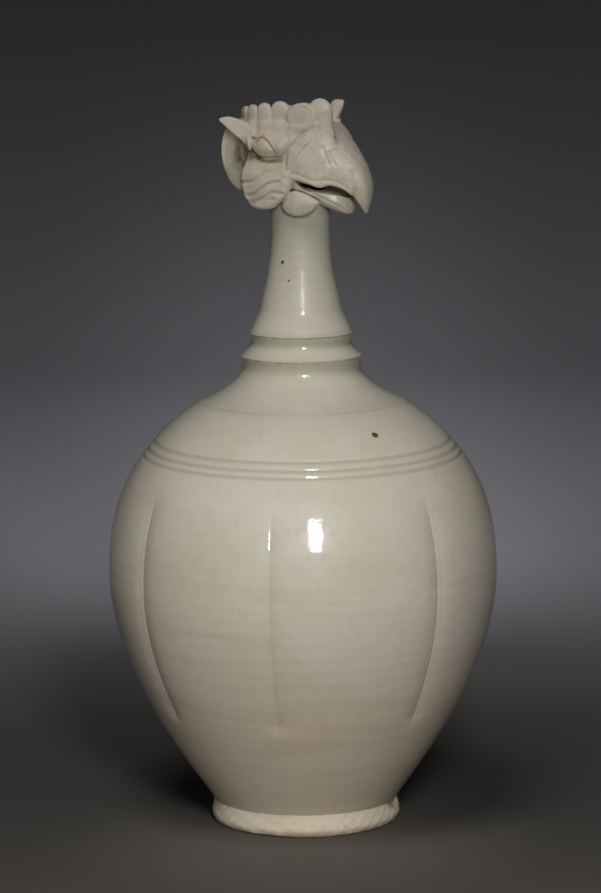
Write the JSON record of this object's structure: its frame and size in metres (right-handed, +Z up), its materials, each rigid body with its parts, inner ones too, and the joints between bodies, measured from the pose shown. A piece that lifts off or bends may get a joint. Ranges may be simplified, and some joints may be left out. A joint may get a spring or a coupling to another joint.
{
  "type": "bird-headed ewer",
  "caption": "Stoneware ewer with a lobed egg-shaped body, a tiered neck and a modelled phoenix head with an open crown and a pouring beak.",
  "frame": {"origin": "on the axis of the pot, at the surface that the foot ring stands on", "axes": "+Z up along the neck, +X forward where the beak points, +Y to the bird's left side"},
  "size_m": [0.2036, 0.2036, 0.38],
  "materials": {
    "glazed_body": "glossy pale grey-green glaze with fine iron specks",
    "glazed_head": "thin satin glaze, browner in the carved lines",
    "bare_foot": "bare fired clay with orange flashes"
  },
  "bodies": {
    "root": {"foot_ring": "bare_foot", "lower_body": "glazed_body", "upper_body": "glazed_body", "neck_base": "glazed_body", "neck_collar": "glazed_body", "neck_tube": "glazed_body", "skull": "glazed_head", "upper_beak": "glazed_head", "lower_beak": "glazed_head", "eye_right": "glazed_head", "eye_left": "glazed_head", "brow_right": "glazed_head", "brow_left": "glazed_head", "ear_right": "glazed_head", "ear_left": "glazed_head", "nape_curl_right": "glazed_head", "nape_curl_left": "glazed_head", "cheek_feathers_right": "glazed_head", "cheek_feathers_left": "glazed_head", "wattle_right": "glazed_head", "wattle_left": "glazed_head", "comb_right": "glazed_head", "comb_left": "glazed_head", "crest_plume_right": "glazed_head", "crest_plume_left": "glazed_head"}
  },
  "joints": []
}
